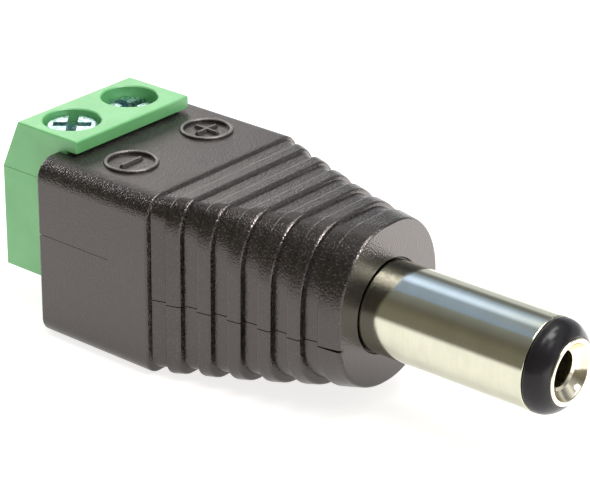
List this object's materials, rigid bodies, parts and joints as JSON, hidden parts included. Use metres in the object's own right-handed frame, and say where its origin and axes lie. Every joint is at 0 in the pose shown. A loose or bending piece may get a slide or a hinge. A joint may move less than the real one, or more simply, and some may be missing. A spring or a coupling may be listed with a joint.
{
  "type": "dc barrel plug",
  "caption": "Low-voltage DC barrel plug in a tapered ribbed housing, with a screw terminal for bare wires at its back and plus and minus marks.",
  "frame": {"origin": "on the plug axis, in the housing's front face, where the mating jack stops", "axes": "+X along the plug to its tip, +Z towards the clamp screws, +Y the plus side"},
  "size_m": [0.0381, 0.0136, 0.0122],
  "materials": {
    "black_plastic": "fine textured ABS",
    "green_plastic": "satin moulded polyamide",
    "zinc_steel": "bright zinc plated",
    "cage_metal": "zinc plated",
    "tinned_brass": "tin plated",
    "nickel_plate": "polished nickel plate on brass",
    "contact_plate": "bright nickel plate on brass",
    "gloss_black": "glossy",
    "insulator_black": "moulded",
    "tinned_wire": "tinned copper",
    "solder": "bright tin solder"
  },
  "bodies": {
    "plug_body": {"housing_top": "black_plastic", "housing_bottom": "black_plastic", "terminal_block": "green_plastic", "contact_bar_minus": "tinned_brass", "contact_bar_plus": "tinned_brass", "barrel_sleeve": "nickel_plate", "centre_contact": "contact_plate", "tip_insulator": "gloss_black", "rear_insulator": "insulator_black", "sleeve_lug": "tinned_brass", "centre_lug": "tinned_brass", "link_wire_minus": "tinned_wire", "link_wire_plus": "tinned_wire", "solder_bar_minus": "solder", "solder_bar_plus": "solder", "solder_lug_minus": "solder", "solder_lug_plus": "solder"},
    "screw_minus": {"clamp_screw_minus": "zinc_steel"},
    "cage_minus": {"clamp_cage_minus": "cage_metal"},
    "screw_plus": {"clamp_screw_plus": "zinc_steel"},
    "cage_plus": {"clamp_cage_plus": "cage_metal"}
  },
  "joints": [
    {"name": "screw_minus_turn", "type": "hinge", "parent": "plug_body", "child": "screw_minus", "pos_m": [-0.0221, -0.0025, 0], "axis": [0, 0, -1], "range_deg": [0, 1440]},
    {"name": "cage_minus_rise", "type": "slide", "parent": "plug_body", "child": "cage_minus", "axis": [0, 0, 1], "range_m": [0, 0.0018]},
    {"name": "screw_plus_turn", "type": "hinge", "parent": "plug_body", "child": "screw_plus", "pos_m": [-0.0221, 0.0025, 0], "axis": [0, 0, -1], "range_deg": [0, 1440]},
    {"name": "cage_plus_rise", "type": "slide", "parent": "plug_body", "child": "cage_plus", "axis": [0, 0, 1], "range_m": [0, 0.0018]}
  ],
  "couplings": [
    {"joint": "screw_minus_turn", "follows": "cage_minus_rise", "rad_per_m": 13963},
    {"joint": "screw_plus_turn", "follows": "cage_plus_rise", "rad_per_m": 13963}
  ]
}
